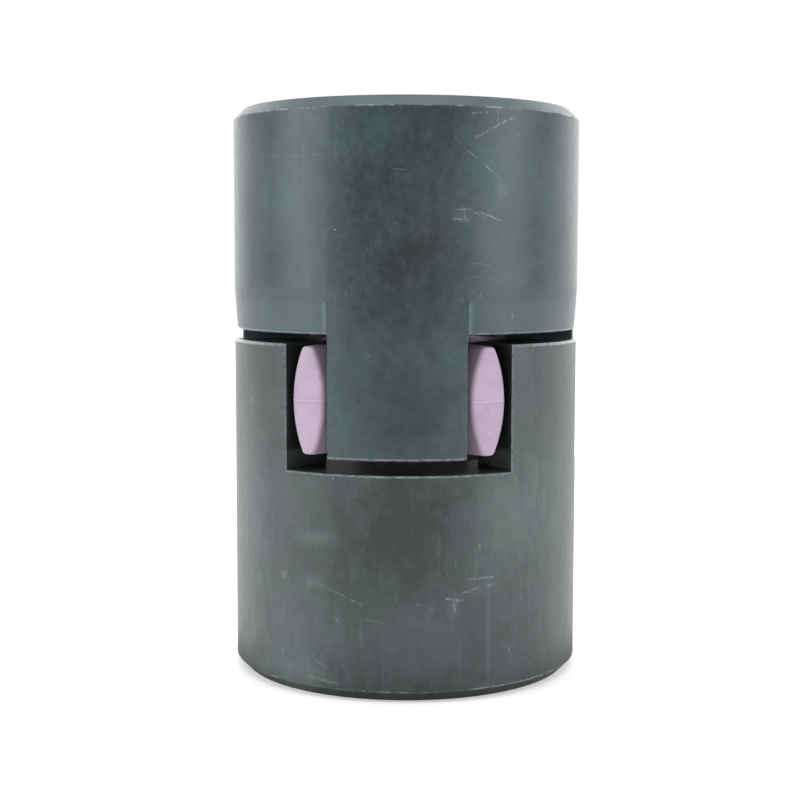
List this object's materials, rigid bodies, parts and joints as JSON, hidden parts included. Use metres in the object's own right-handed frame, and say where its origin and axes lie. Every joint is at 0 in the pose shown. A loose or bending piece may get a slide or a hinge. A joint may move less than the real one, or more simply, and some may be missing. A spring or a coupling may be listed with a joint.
{
  "type": "jaw coupling",
  "caption": "Elastomer jaw shaft coupling: dark steel hubs whose interlocking jaws grip a crowned lilac spider, with keyed bores and set screws.",
  "frame": {"origin": "on the shaft axis, half way between the hubs' end faces", "axes": "+Z along the shaft axis, towards the upper hub; one jaw of the upper hub points along -Y and one jaw of the lower hub along +Y"},
  "size_m": [0.041, 0.041, 0.066],
  "materials": {
    "upper_hub_steel": "phosphated steel, blue-green grey, satin, mottled",
    "lower_hub_steel": "phosphated steel, warm grey, satin, fine vertical streaks",
    "spider_elastomer": "cast polyurethane elastomer, lilac, satin",
    "screw_steel": "black oxide alloy steel"
  },
  "bodies": {
    "lower_hub": {"lower_hub": "lower_hub_steel"},
    "spider": {"spider": "spider_elastomer"},
    "upper_hub": {"upper_hub": "upper_hub_steel"},
    "upper_screw": {"upper_set_screw": "screw_steel"},
    "lower_screw": {"lower_set_screw": "screw_steel"}
  },
  "joints": [
    {"name": "spider_wind_up", "type": "hinge", "parent": "lower_hub", "child": "spider", "pos_m": [0, 0, 0], "axis": [0, 0, 1], "range_deg": [-1.6, 1.6], "stiffness_Nm_per_rad": 600},
    {"name": "upper_hub_slide", "type": "slide", "parent": "spider", "child": "upper_hub", "axis": [0, 0, 1], "range_m": [-0.0005, 0.018]},
    {"name": "upper_screw_slide", "type": "slide", "parent": "upper_hub", "child": "upper_screw", "axis": [0.866, 0.5, 0], "range_m": [-0.0003, 0.008]},
    {"name": "lower_screw_slide", "type": "slide", "parent": "lower_hub", "child": "lower_screw", "axis": [0, 1, 0], "range_m": [-0.0003, 0.008]}
  ]
}
